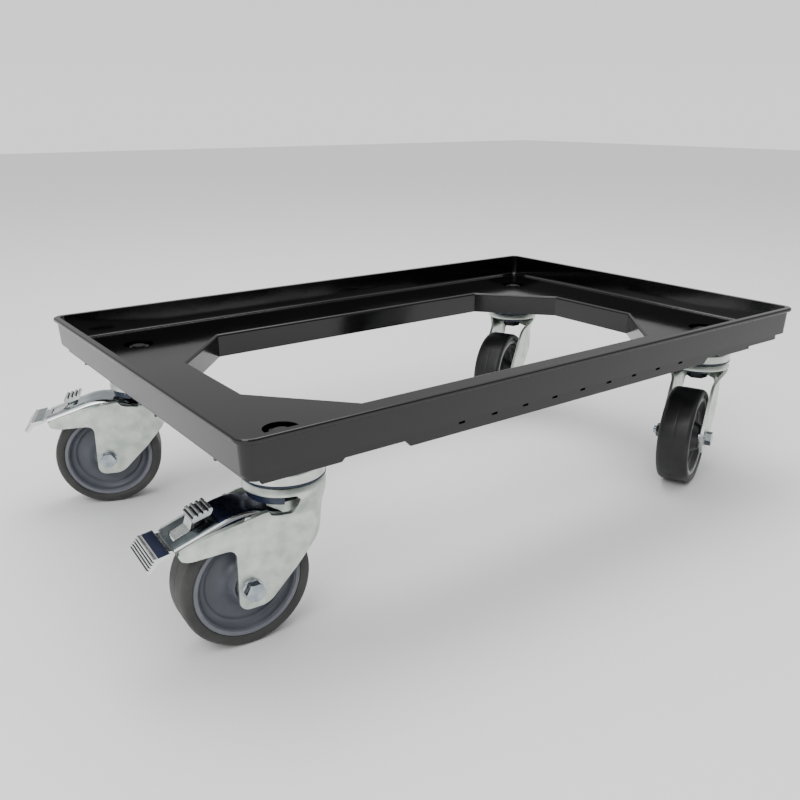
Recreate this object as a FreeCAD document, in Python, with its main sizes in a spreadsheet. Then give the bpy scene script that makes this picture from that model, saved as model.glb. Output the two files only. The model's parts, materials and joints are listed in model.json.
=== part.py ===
"""Crate dolly: an open-deck plastic tray on four swivel casters, two of them with a brake pedal.

+X is the front, +Y the left and +Z up. The origin is on the floor, at the middle of the whole
part's footprint. Sizes are millimetres. Each caster is drawn in its own frame, with the swivel
axis as Z and the wheel trailing towards +X, and is then placed and turned at its corner.
"""

import FreeCAD
import Part
import math
import os

import Sketcher
from FreeCAD import Placement, Rotation, Vector

# ---------------------------------------------------------------- driving sizes

SIZES = [
    # the tray moulding, measured down from the top of its rim
    ("frame_length", 630, "rim, end to end"),
    ("frame_width", 416, "rim, side to side"),
    ("frame_depth", 47, "rim top to caster seats"),
    ("wall_height", 27, "rim top to the bottom of the outer wall"),
    ("wall_thickness", 3, "outer wall"),
    ("wall_lean", 1.5, "how far the wall leans in towards its bottom"),
    ("bead_height", 4, "rolled bead round the rim"),
    ("bead_overhang", 3, "bead beyond the wall"),
    ("corner_round", 9, "upright corners"),
    ("bead_round", 1.6, "edges of the bead"),
    ("foot_round", 3, "where the wall meets the deck"),
    ("opening_round", 2.5, "top edge of the opening"),
    ("deck_depth", 24.5, "rim top to deck"),
    ("deck_end", 75.7, "rim to the opening, at each end"),
    ("deck_side", 77.2, "rim to the opening, along each side"),
    ("opening_corner_along", 65.5, "opening's cut corner, along X"),
    ("opening_corner_across", 75.5, "opening's cut corner, along Y"),
    ("flange_drop", 48, "rim top to the bottom of the opening's flange"),
    ("flange_thickness", 3.5, "opening's flange"),
    ("skirt_inset", 4.5, "skirt behind the wall's bottom"),
    ("skirt_thickness", 3, "skirt"),
    ("skirt_drop", 33.5, "rim top to the skirt's bottom"),
    ("strip_drop", 38.5, "rim top to the deep strip along each side"),
    ("strip_inset", 138, "rim's end to the strip's end"),
    ("guard_drop", 36, "rim top to the bottom of the deeper skirt beside a caster"),
    ("rear_guard_inset", 18, "rim's end to the deeper skirt, at the rear"),
    ("rear_guard_length", 61, "deeper skirt, at the rear"),
    ("front_guard_inset", 68, "rim's end to the deeper skirt, at the front"),
    ("front_guard_length", 47, "deeper skirt, at the front"),
    ("slot_pitch", 33.4, "between the small slots in the strip"),
    ("slot_length", 6, "one slot"),
    ("slot_height", 2, "one slot"),
    ("slot_depth", 1.8, "one slot, blind"),
    ("slot_drop", 30.8, "rim top to the middle of a slot"),
    ("rib_thickness", 2.5, "ribs under the deck"),
    ("boss_radius", 32, "pillar over each caster"),
    ("nut_pocket_radius", 14, "round pocket in the deck"),
    ("nut_pocket_depth", 13.5, "deck to the pocket's floor"),
    ("bolt_radius", 6, "mounting bolt"),
    ("bolt_clearance", 0.5, "round the mounting bolt"),
    ("pivot_end_inset", 63, "rim's end to a caster's axis"),
    ("pivot_side_inset", 64.5, "rim's side to a caster's axis"),
    # the casters
    ("wheel_radius", 50, "tyre"),
    ("wheel_width", 32, "tyre"),
    ("tyre_thickness", 8.5, "tyre, from its tread to the core"),
    ("hub_gap", 2, "core's hub to the fork's leg, each side"),
    ("hub_radius", 14, "core's hub"),
    ("bearing_radius", 11, "outside of a wheel bearing"),
    ("bearing_width", 7, "wheel bearing"),
    ("axle_tube_radius", 6, "spacer tube"),
    ("axle_radius", 4, "axle bolt"),
    ("running_gap", 0.05, "radial, where a piece turns on another"),
    ("trail", 38, "swivel axis to axle"),
    ("head_room", 36, "top of the wheel to the caster's seat"),
    ("fork_gap", 39, "between the fork's legs"),
    ("fork_plate", 3, "fork sheet"),
    ("crown_radius", 31, "fork's crown"),
    ("crown_height", 6.5, "fork's crown"),
    ("cup_radius", 31, "top cup"),
    ("cup_height", 9.5, "top cup"),
    ("seal_height", 1.6, "seal ring"),
    ("seal_gap", 0.4, "seal ring to crown"),
    ("ball_radius", 3.2, "swivel ball"),
    ("ball_path", 21, "upper ring of balls"),
    ("lower_ball_path", 12.8, "lower ring of balls"),
    ("sleeve_radius", 9, "kingpin sleeve"),
    ("retainer_radius", 18, "lower cup"),
    ("retainer_drop", 24, "seat to the lower cup's bottom"),
    ("pin_radius", 2.5, "pedal's pivot pin"),
    ("pin_rise", 4, "top of the wheel to the pedal's pin"),
    ("pedal_gap", 0.3, "pedal to the fork's leg, each side"),
    ("pedal_sheet", 1.8, "pedal"),
    ("tread_half_width", 20, "pedal's foot tread"),
    ("tab_half_width", 9.5, "release tab"),
    ("slot_half_width", 7.5, "window in the pedal"),
    ("shoe_gap", 3.2, "brake shoe to tyre, pedal up"),
    ("yaw_rear_right", 176, "way the wheel trails, in plan"),
    ("yaw_rear_left", 158, "way the wheel trails, in plan"),
    ("yaw_front_right", 203, "way the wheel trails, in plan"),
    ("yaw_front_left", 205, "way the wheel trails, in plan"),
    # the middle of the part's footprint, from the middle of the tray
    ("origin_x", 0, "worked out below"),
    ("origin_y", 0, "worked out below"),
]


class Length:
    """A number together with the sheet formula that gives it."""

    def __init__(self, value, formula):
        self.value = value
        self.formula = formula

    def combine(self, other, sign, result, swapped=False):
        other = length(other)
        pair = (other.formula, self.formula) if swapped else (self.formula, other.formula)
        return Length(result, "(%s %s %s)" % (pair[0], sign, pair[1]))

    def __add__(self, other):
        return self.combine(other, "+", self.value + length(other).value)

    def __sub__(self, other):
        return self.combine(other, "-", self.value - length(other).value)

    def __mul__(self, factor):
        return self.combine(factor, "*", self.value * length(factor).value)

    def __truediv__(self, factor):
        return self.combine(factor, "/", self.value / length(factor).value)

    def __radd__(self, other):
        return self.combine(other, "+", length(other).value + self.value, True)

    def __rsub__(self, other):
        return self.combine(other, "-", length(other).value - self.value, True)

    def __rmul__(self, factor):
        return self * factor

    def __neg__(self):
        return self * -1


def length(thing):
    """A plain number as a Length; a Length as it is."""
    if isinstance(thing, Length):
        return thing
    return Length(float(thing), "%.9g" % thing)


doc = FreeCAD.newDocument("CrateDolly")
sheet = doc.addObject("Spreadsheet::Sheet", "Sizes")
for row, (alias, number, meaning) in enumerate(SIZES, 1):
    sheet.set("A%d" % row, meaning)
    sheet.set("B%d" % row, str(number))
    sheet.setAlias("B%d" % row, alias)
doc.recompute()


class Sheet:
    """The driving sizes by name, each as a Length."""


size = Sheet()
for alias, number, meaning in SIZES:
    setattr(size, alias, Length(float(number), "Sizes." + alias))


def bind(thing, path, amount):
    """Ties one property to the sheet."""
    thing.setExpression(path, length(amount).formula)


# ---------------------------------------------------------------- sketches and features


def new_body(name):
    return doc.addObject("PartDesign::Body", name)


def fix_point(sketch, geometry, end, x, y):
    """Holds one point of a sketch at a place worked out from the sheet."""
    for kind, amount in (("DistanceX", length(x)), ("DistanceY", length(y))):
        index = sketch.addConstraint(Sketcher.Constraint(kind, -1, 1, geometry, end, amount.value))
        sketch.setExpression("Constraints[%d]" % index, amount.formula)


def round_corner(before, corner, after, radius):
    """The two tangent points and the arc that round one corner of an outline."""
    to_before = (before - corner).normalize()
    to_after = (after - corner).normalize()
    half_angle = to_before.getAngle(to_after) / 2
    setback = radius / math.tan(half_angle)
    start = corner + to_before * setback
    end = corner + to_after * setback
    centre = corner + (to_before + to_after).normalize() * (radius / math.sin(half_angle))
    middle = centre + (corner - centre).normalize() * radius
    return start, end, Part.Arc(start, middle, end)


def outline(sketch, corners):
    """A closed loop of straight lines; a corner (x, y, r) is rounded to radius r."""
    count = len(corners)
    points = [Vector(length(c[0]).value, length(c[1]).value, 0) for c in corners]
    rounds = {}
    for i, corner in enumerate(corners):
        if len(corner) == 3:
            rounds[i] = round_corner(points[i - 1], points[i], points[(i + 1) % count], length(corner[2]).value)
    lines = []
    for i in range(count):
        after = (i + 1) % count
        start = rounds[i][1] if i in rounds else points[i]
        end = rounds[after][0] if after in rounds else points[after]
        lines.append(sketch.addGeometry(Part.LineSegment(start, end), False))
    for i, corner in enumerate(corners):
        before, after = lines[i - 1], lines[i]
        if i not in rounds:
            sketch.addConstraint(Sketcher.Constraint("Coincident", before, 2, after, 1))
            fix_point(sketch, after, 1, corner[0], corner[1])
            continue
        arc = sketch.addGeometry(rounds[i][2], False)
        tip = sketch.addGeometry(Part.Point(points[i]), True)
        starts_first = sketch.getPoint(arc, 1).distanceToPoint(rounds[i][0]) < 1e-6
        near, far = (1, 2) if starts_first else (2, 1)
        sketch.addConstraint(Sketcher.Constraint("Tangent", before, 2, arc, near))
        sketch.addConstraint(Sketcher.Constraint("Tangent", after, 1, arc, far))
        sketch.addConstraint(Sketcher.Constraint("PointOnObject", tip, 1, before))
        sketch.addConstraint(Sketcher.Constraint("PointOnObject", tip, 1, after))
        fix_point(sketch, tip, 1, corner[0], corner[1])
        index = sketch.addConstraint(Sketcher.Constraint("Radius", arc, length(corner[2]).value))
        sketch.setExpression("Constraints[%d]" % index, length(corner[2]).formula)


def ring(sketch, x, y, radius):
    """A circle in a sketch."""
    x, y, radius = length(x), length(y), length(radius)
    circle = sketch.addGeometry(Part.Circle(Vector(x.value, y.value, 0), Vector(0, 0, 1), radius.value), False)
    fix_point(sketch, circle, 3, x, y)
    index = sketch.addConstraint(Sketcher.Constraint("Radius", circle, radius.value))
    sketch.setExpression("Constraints[%d]" % index, radius.formula)


def draw(body, name, plane, loops=(), circles=(), at=(0, 0, 0)):
    """A sketch on one of the body's own planes; at is its shift in its own two directions and along its normal."""
    sketch = body.newObject("Sketcher::SketchObject", name)
    support = [item for item in body.Origin.OriginFeatures if item.Role == plane + "_Plane"][0]
    sketch.AttachmentSupport = (support, [""])
    sketch.MapMode = "FlatFace"
    for axis, amount in zip("xyz", at):
        bind(sketch, "AttachmentOffset.Base." + axis, amount)
    for corners in loops:
        outline(sketch, corners)
    for x, y, radius in circles:
        ring(sketch, x, y, radius)
    return sketch


def pad(body, sketch, amount, feature="Pad", both_ways=False, backwards=False):
    """Pads or pockets a sketch by a length."""
    made = body.newObject("PartDesign::" + feature, sketch.Name + feature)
    made.Profile = sketch
    bind(made, "Length", amount)
    made.SideType = "Symmetric" if both_ways else "One side"
    made.Reversed = backwards
    return made


def spin(body, sketch, axis="V_Axis", angle=360, feature="Revolution"):
    """Turns a sketch about one of its own axes."""
    made = body.newObject("PartDesign::" + feature, sketch.Name + feature)
    made.Profile = sketch
    made.ReferenceAxis = (sketch, [axis])
    made.Angle = angle
    made.Midplane = angle < 360
    return made


def loft(body, lower, upper, feature="AdditiveLoft"):
    """Joins two sketches."""
    made = body.newObject("PartDesign::" + feature, lower.Name + "Loft")
    made.Profile = lower
    made.Sections = [upper]
    made.Ruled = True
    return made


def soften(body, name, wanted, radius):
    """Rounds every edge of the body whose middle and ends all pass a test."""
    doc.recompute()
    base = body.Tip
    found = []
    for number, edge in enumerate(base.Shape.Edges, 1):
        middle = edge.valueAt((edge.FirstParameter + edge.LastParameter) / 2)
        if all(wanted(point) for point in (middle, edge.Vertexes[0].Point, edge.Vertexes[-1].Point)):
            found.append("Edge%d" % number)
    made = body.newObject("PartDesign::Fillet", name)
    made.Base = (base, found)
    bind(made, "Radius", radius)
    return made


def rectangle(half_x, half_y, radius=None):
    """The four corners of a centred rectangle, rounded if a radius is given."""
    tail = () if radius is None else (radius,)
    signs = ((-1, -1), (1, -1), (1, 1), (-1, 1))
    return [(length(half_x) * sx, length(half_y) * sy) + tail for sx, sy in signs]


def box_loop(left, low, right, high):
    return [(left, low), (right, low), (right, high), (left, high)]


# ---------------------------------------------------------------- heights shared by several pieces

wheel_top = size.wheel_radius * 2
seat = wheel_top + size.head_room
rim_top = seat + size.frame_depth
deck_top = rim_top - size.deck_depth
wall_bottom = rim_top - size.wall_height
flange_bottom = rim_top - size.flange_drop
pocket_floor = deck_top - size.nut_pocket_depth
crown_top = seat - size.cup_height - size.seal_height - size.seal_gap
crown_bottom = crown_top - size.crown_height
retainer_bottom = seat - size.retainer_drop
fork_outside = size.fork_gap / 2 + size.fork_plate
hub_half = size.fork_gap / 2 - size.hub_gap
pedal_half = size.fork_gap / 2 - size.pedal_gap
tyre_seat = size.wheel_radius - size.tyre_thickness
pin_height = wheel_top + size.pin_rise
half_length = size.frame_length / 2
half_width = size.frame_width / 2
opening_x = half_length - size.deck_end
opening_y = half_width - size.deck_side
pivot_x = half_length - size.pivot_end_inset
pivot_y = half_width - size.pivot_side_inset

nodes = {}


def keep(name, made):
    """Names a finished sub-part."""
    made.Label = name
    nodes[name] = made
    return made


# ---------------------------------------------------------------- the tray


def opening_outline(margin=0.0):
    """The eight corners of the deck's opening, moved out by a margin."""
    end = opening_x + margin
    side = opening_y + margin
    # a shift of the sloping corner's line keeps the wall even all the way round
    slope = 0.41 * margin
    along = end - size.opening_corner_along - slope
    across = side - size.opening_corner_across - slope
    quarter = [(end, across), (along, side)]
    return (
        [(x * -1, y * -1) for x, y in quarter]
        + [(x, y * -1) for x, y in reversed(quarter)]
        + quarter
        + [(x * -1, y) for x, y in reversed(quarter)]
    )


def make_frame():
    """One moulding: rim, wall, deck with its opening, and the skirt, ribs and bosses below."""
    body = new_body("frame_tray")
    wall_x = half_length - size.bead_overhang
    wall_y = half_width - size.bead_overhang
    lean = size.wall_lean
    low = draw(body, "WallLow", "XY", [rectangle(wall_x - lean, wall_y - lean, size.corner_round - lean)],
               at=(0, 0, wall_bottom))
    high = draw(body, "WallHigh", "XY", [rectangle(wall_x, wall_y, size.corner_round)], at=(0, 0, rim_top))
    loft(body, low, high)
    bead = draw(body, "Bead", "XY", [rectangle(half_length, half_width, size.corner_round + size.bead_overhang)],
                at=(0, 0, rim_top - size.bead_height))
    pad(body, bead, size.bead_height)

    # the inside of the tray, drawn in a little more than the wall's lean
    inner_x = wall_x - size.wall_thickness
    inner_y = wall_y - size.wall_thickness
    inner_round = size.corner_round - size.wall_thickness
    floor = draw(body, "TrayFloor", "XY", [rectangle(inner_x - lean, inner_y - lean, inner_round)],
                 at=(0, 0, deck_top))
    mouth = draw(body, "TrayMouth", "XY", [rectangle(inner_x, inner_y, inner_round + 1)], at=(0, 0, rim_top))
    loft(body, floor, mouth, "SubtractiveLoft")

    # below the deck: flange round the opening, skirt behind the wall
    flange = draw(body, "Flange", "XY", [opening_outline(size.flange_thickness)], at=(0, 0, flange_bottom))
    pad(body, flange, wall_bottom - flange_bottom)
    skirt_x = wall_x - lean - size.skirt_inset
    skirt_y = wall_y - lean - size.skirt_inset
    inset = size.skirt_thickness
    skirt_bottom = rim_top - size.skirt_drop
    skirt = draw(body, "Skirt", "XY", [rectangle(skirt_x, skirt_y, size.corner_round),
                                       rectangle(skirt_x - inset, skirt_y - inset, size.corner_round - inset)],
                 at=(0, 0, skirt_bottom))
    pad(body, skirt, wall_bottom - skirt_bottom)
    strip_bottom = rim_top - size.strip_drop
    guard_bottom = rim_top - size.guard_drop
    for name, side in (("Right", -1), ("Left", 1)):
        shift = skirt_y if side < 0 else inset - skirt_y
        reach = half_length - size.strip_inset
        bevel = wall_bottom - strip_bottom
        loops = [[(-reach, strip_bottom), (reach, strip_bottom), (reach + bevel, wall_bottom),
                  (-(reach + bevel), wall_bottom)]]
        for end, start, span in ((-1, size.rear_guard_inset, size.rear_guard_length),
                                 (1, size.front_guard_inset, size.front_guard_length)):
            far = half_length - start
            loops.append([((far - span) * end, guard_bottom), (far * end, guard_bottom),
                          ((far + 3) * end, wall_bottom), ((far - span - 10) * end, wall_bottom)])
        lower = draw(body, "Strip" + name, "XZ", loops, at=(0, 0, shift - inset))
        pad(body, lower, inset)

    # a lattice of ribs from the flange to the skirt
    half_rib = size.rib_thickness / 2
    rib_bottom = rim_top - size.strip_drop + 2
    flange_x = opening_x + size.flange_thickness - 1
    flange_y = opening_y + size.flange_thickness - 1
    ribs = []
    for step in (-2, -1, 0, 1, 2):
        x = size.slot_pitch * step * 2
        for side in (-1, 1):
            ribs.append(box_loop(x - half_rib, flange_y * side, x + half_rib, (skirt_y - 1) * side))
    for step in (-1, 0, 1):
        y = size.slot_pitch * step
        for end in (-1, 1):
            ribs.append(box_loop(flange_x * end, y - half_rib, (skirt_x - 1) * end, y + half_rib))
    lattice = draw(body, "Ribs", "XY", ribs, at=(0, 0, rib_bottom))
    pad(body, lattice, wall_bottom - rib_bottom)

    # a boss over each caster, webbed to the skirt and the flange
    corners = [(pivot_x * sx, pivot_y * sy) for sx in (-1, 1) for sy in (-1, 1)]
    bosses = draw(body, "Bosses", "XY", circles=[(x, y, size.boss_radius) for x, y in corners], at=(0, 0, seat))
    pad(body, bosses, wall_bottom - seat)
    webs = []
    for sx in (-1, 1):
        for sy in (-1, 1):
            x = pivot_x * sx
            y = pivot_y * sy
            webs.append(box_loop(x - half_rib, y, x + half_rib, (skirt_y - 1) * sy))
            webs.append(box_loop(x, y - half_rib, (skirt_x - 1) * sx, y + half_rib))
    webbing = draw(body, "WebsAcross", "XY", webs[0::2], at=(0, 0, rib_bottom))
    pad(body, webbing, wall_bottom - rib_bottom)
    webbing = draw(body, "WebsAlong", "XY", webs[1::2], at=(0, 0, rib_bottom))
    pad(body, webbing, wall_bottom - rib_bottom)

    # holes: the opening, the nut pockets, the bolt holes and the small slots
    opening = draw(body, "Opening", "XY", [opening_outline()], at=(0, 0, rim_top))
    pad(body, opening, size.flange_drop + 1, "Pocket")
    pockets = draw(body, "NutPockets", "XY", circles=[(x, y, size.nut_pocket_radius) for x, y in corners],
                   at=(0, 0, deck_top))
    pad(body, pockets, size.nut_pocket_depth, "Pocket")
    hole_radius = size.bolt_radius + size.bolt_clearance
    holes = draw(body, "BoltHoles", "XY", circles=[(x, y, hole_radius) for x, y in corners], at=(0, 0, deck_top))
    pad(body, holes, deck_top - seat, "Pocket")
    slot_middle = rim_top - size.slot_drop
    half_slot = size.slot_length / 2
    for name, side in (("Right", -1), ("Left", 1)):
        shift = skirt_y if side < 0 else inset - skirt_y
        loops = []
        for step in range(-4, 5):
            x = size.slot_pitch * step + size.rib_thickness * 2
            loops.append(box_loop(x - half_slot, slot_middle - size.slot_height / 2,
                                  x + half_slot, slot_middle + size.slot_height / 2))
        slots = draw(body, "Slots" + name, "XZ", loops, at=(0, 0, shift))
        pad(body, slots, size.slot_depth, "Pocket")
    doc.recompute()

    # rounded edges: the bead, the foot of the inner wall and the opening's top edge
    bead_low = (rim_top - size.bead_height).value

    def outer(point, margin):
        return (abs(point.x) > half_length.value - margin) or (abs(point.y) > half_width.value - margin)

    def on_bead(point):
        level = abs(point.z - rim_top.value) < 0.01 or abs(point.z - bead_low) < 0.01
        return level and outer(point, size.bead_overhang.value - 0.2)

    def on_foot(point):
        return abs(point.z - deck_top.value) < 0.01 and outer(point, 14)

    def on_opening(point):
        inside = abs(point.x) < opening_x.value + 1 and abs(point.y) < opening_y.value + 1
        return abs(point.z - deck_top.value) < 0.01 and inside

    soften(body, "BeadRound", on_bead, size.bead_round)
    soften(body, "FootRound", on_foot, size.foot_round)
    soften(body, "OpeningRound", on_opening, size.opening_round)
    body.Placement = Placement(Vector(), Rotation(Vector(0, 0, 1), 0))
    bind(body, "Placement.Base.x", -size.origin_x)
    bind(body, "Placement.Base.y", -size.origin_y)
    return keep("frame_tray", body)


# ---------------------------------------------------------------- pieces fixed to the tray, four of each

CORNERS = {
    "rear_right": (-1, -1, size.yaw_rear_right, True),
    "rear_left": (-1, 1, size.yaw_rear_left, True),
    "front_right": (1, -1, size.yaw_front_right, False),
    "front_left": (1, 1, size.yaw_front_left, False),
}


def put(made, corner, turned=True):
    """Places a caster's piece at its corner, turned the way the wheel trails."""
    sign_x, sign_y, yaw, braked = CORNERS[corner]
    made.Placement = Placement(Vector(), Rotation(Vector(0, 0, 1), 1))
    bind(made, "Placement.Base.x", pivot_x * sign_x - size.origin_x)
    bind(made, "Placement.Base.y", pivot_y * sign_y - size.origin_y)
    bind(made, "Placement.Rotation.Angle", yaw if turned else 0)


def turned_piece(name, profile):
    """A piece of revolution about the swivel axis; the profile is in radius and height."""
    body = new_body(name)
    spin(body, draw(body, name + "Profile", "XZ", [profile]))
    return body


def hexagon(across_flats, x=0, y=0):
    """Six corners of a bolt's head or a nut."""
    reach = length(across_flats) / math.sqrt(3)
    angles = [math.radians(60 * step) for step in range(6)]
    return [(x + reach * math.cos(angle), y + reach * math.sin(angle)) for angle in angles]


def make_four(name, make, turned=False):
    """One node that holds the same piece at each corner."""
    pieces = []
    for corner in CORNERS:
        piece = make("%s_%s" % (name, corner))
        put(piece, corner, turned)
        pieces.append(piece)
    group = doc.addObject("Part::Compound", name)
    group.Links = pieces
    return keep(name, group)


def top_cup(name):
    """The caster's fixed top: a pressed dish that holds the upper ring of balls."""
    radius = size.cup_radius
    sheet_height = 3
    return turned_piece(name, [
        (size.sleeve_radius - 2.4, seat), (radius - 1, seat, 3.5), (radius, seat - size.cup_height),
        (radius - 2.6, seat - size.cup_height), (radius - 3, seat - sheet_height, 1.5),
        (size.sleeve_radius - 2.4, seat - sheet_height)])


def seal_ring(name):
    """The plastic ring that closes the gap between the top cup and the fork's crown."""
    top = seat - size.cup_height
    return turned_piece(name, [
        (size.cup_radius - 2.5, top - size.seal_height), (size.cup_radius + 0.4, top - size.seal_height, 0.4),
        (size.cup_radius + 0.4, top, 0.4), (size.cup_radius - 2.5, top)])


def kingpin_sleeve(name):
    """The hollow rivet that holds the swivel head together; the mounting bolt passes through it."""
    bore = size.bolt_radius + 0.3
    return turned_piece(name, [
        (bore, retainer_bottom), (size.sleeve_radius, retainer_bottom),
        (size.sleeve_radius, seat - 3), (bore, seat - 3)])


def retainer(name):
    """The lower cup, which holds the lower ring of balls up against the crown."""
    floor = retainer_bottom + 3
    lip = crown_top - 3.8
    return turned_piece(name, [
        (size.sleeve_radius, retainer_bottom), (size.retainer_radius, retainer_bottom, 2),
        (size.retainer_radius, lip, 0.5), (size.retainer_radius - 1.5, lip),
        (size.retainer_radius - 1.5, floor), (size.sleeve_radius, floor)])


def mounting_bolt(name):
    """Hex bolt up through the swivel head and the tray's boss."""
    body = new_body(name)
    head_height = 7.5
    head = draw(body, name + "Head", "XY", [hexagon(18)], at=(0, 0, retainer_bottom - head_height))
    pad(body, head, head_height)
    shank = draw(body, name + "Shank", "XY", circles=[(0, 0, size.bolt_radius)], at=(0, 0, retainer_bottom - 1))
    pad(body, shank, deck_top - retainer_bottom)
    return body


def mounting_washer(name):
    bore = size.bolt_radius + 0.4
    top = pocket_floor + 2
    return turned_piece(name, [(bore, pocket_floor), (size.nut_pocket_radius - 2, pocket_floor, 0.4),
                               (size.nut_pocket_radius - 2, top, 0.6), (bore, top)])


def mounting_nut(name):
    body = new_body(name)
    nut = draw(body, name + "Nut", "XY", [hexagon(18)], circles=[(0, 0, size.bolt_radius)],
               at=(0, 0, pocket_floor + 2))
    pad(body, nut, 9)
    return body


def ball_ring(name, path, count, height):
    """One ring of swivel balls at each corner, all in one node."""
    balls = []
    for corner, (sign_x, sign_y, yaw, braked) in CORNERS.items():
        for step in range(count):
            angle = 2 * math.pi * step / count
            ball = doc.addObject("Part::Sphere", "%s_%s_%d" % (name, corner, step))
            bind(ball, "Radius", size.ball_radius)
            bind(ball, "Placement.Base.x",
                 pivot_x * sign_x - size.origin_x + path * math.cos(angle))
            bind(ball, "Placement.Base.y",
                 pivot_y * sign_y - size.origin_y + path * math.sin(angle))
            bind(ball, "Placement.Base.z", height)
            balls.append(ball)
    group = doc.addObject("Part::Compound", name)
    group.Links = balls
    return keep(name, group)


# ---------------------------------------------------------------- fork and axle


def plate_outline(braked):
    """One leg of the fork, seen along the axle; a braked fork has an arm beside the pedal."""
    axle_x = size.trail
    axle_z = size.wheel_radius
    back = size.crown_radius - 9
    below_crown = crown_bottom + 3
    leg = [
        (-1 * back, below_crown), (-1 * back, wheel_top - 15, 28),
        (axle_x - 12, axle_z - 15.5, 10), (axle_x + 10.5, axle_z - 15.5, 8)]
    if braked:
        arm = [
            (axle_x + 10, wheel_top - 15, 8), (axle_x + 46, wheel_top - 15.5, 5),
            (axle_x + 51, wheel_top - 11.5, 3), (axle_x + 50, wheel_top - 8, 2.5),
            (axle_x + 22, wheel_top + 1.5, 30), (axle_x + 5, wheel_top + 8.6, 12),
            (axle_x - 6, wheel_top + 8.6, 12), (axle_x - 17, wheel_top + 3, 12),
            (axle_x - 34, wheel_top + 2, 5)]
    else:
        arm = [
            (axle_x + 12, axle_z + 6, 6), (axle_x - 17, wheel_top - 3, 12),
            (axle_x - 30, wheel_top + 8, 8)]
    return leg + arm + [(axle_x - 37, below_crown)]


def make_fork(corner):
    """The swivelling fork: a pressed crown and two legs, with a cone between them at the back."""
    name = corner + "_fork"
    braked = CORNERS[corner][3]
    body = new_body(name)
    outside = size.crown_radius
    sheet_height = 3
    hole = size.sleeve_radius + 1.2
    crown = draw(body, name + "Crown", "XZ", [[
        (hole, crown_top), (outside, crown_top, 2), (outside, crown_bottom), (outside - 3, crown_bottom),
        (outside - 3, crown_top - sheet_height), (hole, crown_top - sheet_height)]])
    spin(body, crown)
    cone_foot = size.fork_gap / 2
    cone_low = crown_bottom - 18
    shoulder = draw(body, name + "Shoulder", "XZ", [[
        (-1 * (outside - 3), crown_bottom + 1), (-1 * outside, crown_bottom + 1), (-1 * outside, crown_bottom),
        (-1 * (cone_foot + 3), cone_low), (-1 * cone_foot, cone_low)]])
    spin(body, shoulder, angle=180)
    clear = draw(body, name + "Clear", "XY", [box_loop(-1 * outside - 1, -1 * cone_foot, 1, cone_foot)],
                 at=(0, 0, crown_bottom))
    pad(body, clear, 20, "Pocket")
    bolt_hole = size.axle_radius + size.running_gap
    for side, shift in (("Near", size.fork_gap / 2), ("Far", -1 * fork_outside)):
        circles = [(size.trail, size.wheel_radius, bolt_hole)]
        if braked:
            circles.append((size.trail, pin_height, size.pin_radius + size.running_gap))
        plate = draw(body, name + side, "XZ", [plate_outline(braked)], circles, at=(0, 0, shift))
        pad(body, plate, size.fork_plate)
    put(body, corner)
    return keep(name, body)


def across(body, name, profile):
    """A piece of revolution about the wheel's axle; the profile is in distance along it and radius."""
    return draw(body, name, "YZ", [profile], at=(0, size.wheel_radius, size.trail))


def make_axle(corner):
    """Axle bolt, its nut and the spacer tube that the fork's legs clamp."""
    name = corner + "_axle_tube"
    tube = new_body(name)
    half = size.fork_gap / 2
    bore = size.axle_radius + size.running_gap
    spin(tube, across(tube, name + "Profile", [(-half, bore), (-half, size.axle_tube_radius),
                                               (half, size.axle_tube_radius), (half, bore)]), "H_Axis")
    put(tube, corner)
    keep(name, tube)

    # local +Y is minus the XZ plane's normal, and the bolt's head is on that side
    name = corner + "_axle_bolt"
    bolt = new_body(name)
    at = (size.trail, size.wheel_radius)
    washer = draw(bolt, name + "Washer", "XZ", circles=[at + (8.2,)], at=(0, 0, -1 * (fork_outside + 1.5)))
    pad(bolt, washer, 1.5)
    head = draw(bolt, name + "Head", "XZ", [hexagon(13, *at)], at=(0, 0, -1 * (fork_outside + 7)))
    pad(bolt, head, 6)
    shank = draw(bolt, name + "Shank", "XZ", circles=[at + (size.axle_radius,)], at=(0, 0, -1 * fork_outside - 1))
    pad(bolt, shank, fork_outside * 2 + 9)
    put(bolt, corner)
    keep(name, bolt)

    name = corner + "_axle_nut"
    nut = new_body(name)
    washer = draw(nut, name + "Washer", "XZ", circles=[at + (8.2,), at + (size.axle_radius,)],
                  at=(0, 0, fork_outside))
    pad(nut, washer, 1.5)
    body = draw(nut, name + "Body", "XZ", [hexagon(13, *at)], circles=[at + (size.axle_radius,)],
                at=(0, 0, fork_outside + 1))
    pad(nut, body, 6.5)
    put(nut, corner)
    keep(name, nut)


# ---------------------------------------------------------------- wheel


def mirrored(half):
    """A profile symmetric about the wheel's middle, from its half at positive distances."""
    return half + [(-length(c[0]),) + tuple(c[1:]) for c in reversed(half)]


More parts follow.
